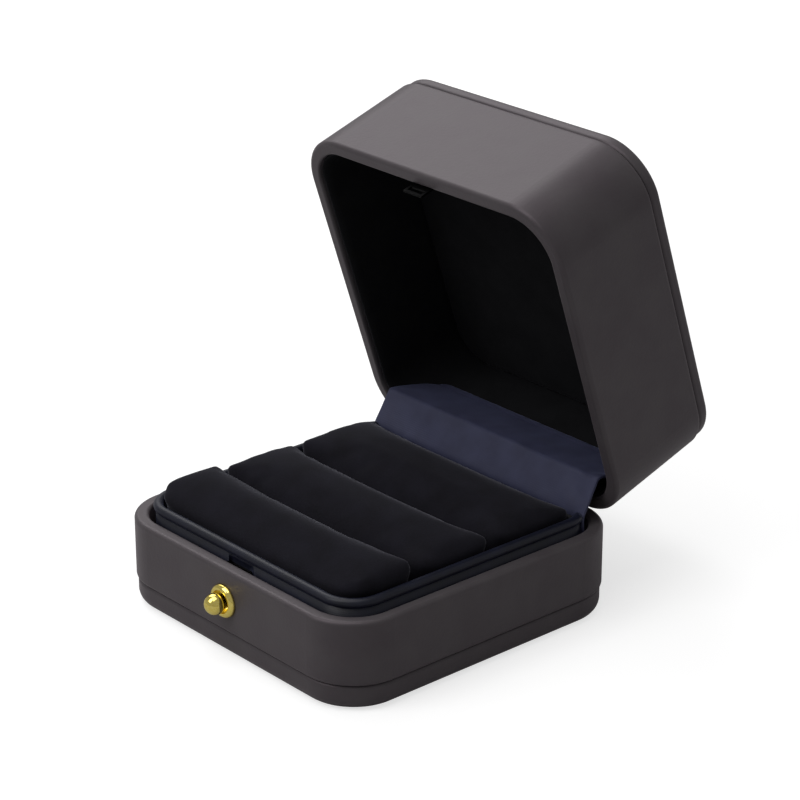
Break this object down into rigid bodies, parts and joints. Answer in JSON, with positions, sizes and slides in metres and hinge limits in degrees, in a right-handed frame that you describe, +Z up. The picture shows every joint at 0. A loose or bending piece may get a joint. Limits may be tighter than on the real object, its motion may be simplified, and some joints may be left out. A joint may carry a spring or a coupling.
{
  "type": "ring box",
  "caption": "Hinged presentation box for rings: padded slotted insert in a raised collar, snap lid and a push-button latch.",
  "frame": {"origin": "centre of the underside of the bottom plate", "axes": "+Z up, -Y to the front with the button, +Y to the hinge, +X to the right"},
  "size_m": [0.072, 0.1016, 0.0943],
  "materials": {
    "leatherette": "fine grained, satin",
    "moulded_shell": "matt",
    "grey_board": "plain card",
    "navy_fabric": "fine woven, soft",
    "black_velvet": "short pile",
    "gilt_brass": "polished",
    "dark_steel": "blackened",
    "bright_steel": "plated"
  },
  "bodies": {
    "base": {"bottom_board": "grey_board", "bottom_wrap": "leatherette", "bottom_filler": "grey_board", "base_shell": "moulded_shell", "base_wrap": "leatherette", "insert_tray": "grey_board", "collar_frame": "grey_board", "collar_wrap": "navy_fabric", "front_pad": "black_velvet", "middle_pad": "black_velvet", "rear_pad": "black_velvet", "hinge_base_leaf": "bright_steel", "hinge_base_rivets": "bright_steel", "hinge_pin": "bright_steel", "hinge_cover": "navy_fabric", "escutcheon": "gilt_brass", "button_spring": "bright_steel", "latch_guides": "dark_steel"},
    "button": {"button_knob": "gilt_brass", "latch_plate": "dark_steel", "stem_clip": "dark_steel"},
    "lid": {"lid_shell": "moulded_shell", "lid_wrap": "leatherette", "lid_top_board": "grey_board", "lid_top_wrap": "leatherette", "lid_top_filler": "grey_board", "lid_wall_lining": "black_velvet", "lid_ceiling_pad": "black_velvet", "lid_keeper": "dark_steel", "keeper_rivets": "dark_steel", "hinge_lid_leaf": "bright_steel", "hinge_lid_rivets": "bright_steel"}
  },
  "joints": [
    {"name": "lid_hinge", "type": "hinge", "parent": "base", "child": "lid", "pos_m": [0, 0.0352, 0.0187], "axis": [1, 0, 0], "range_deg": [0, 71.5], "deforming": ["hinge_cover"]},
    {"name": "button_push", "type": "slide", "parent": "base", "child": "button", "axis": [0, 1, 0], "range_m": [0, 0.0008], "stiffness_N_per_m": 400, "springref_m": -0.0015, "deforming": ["button_spring"]}
  ]
}
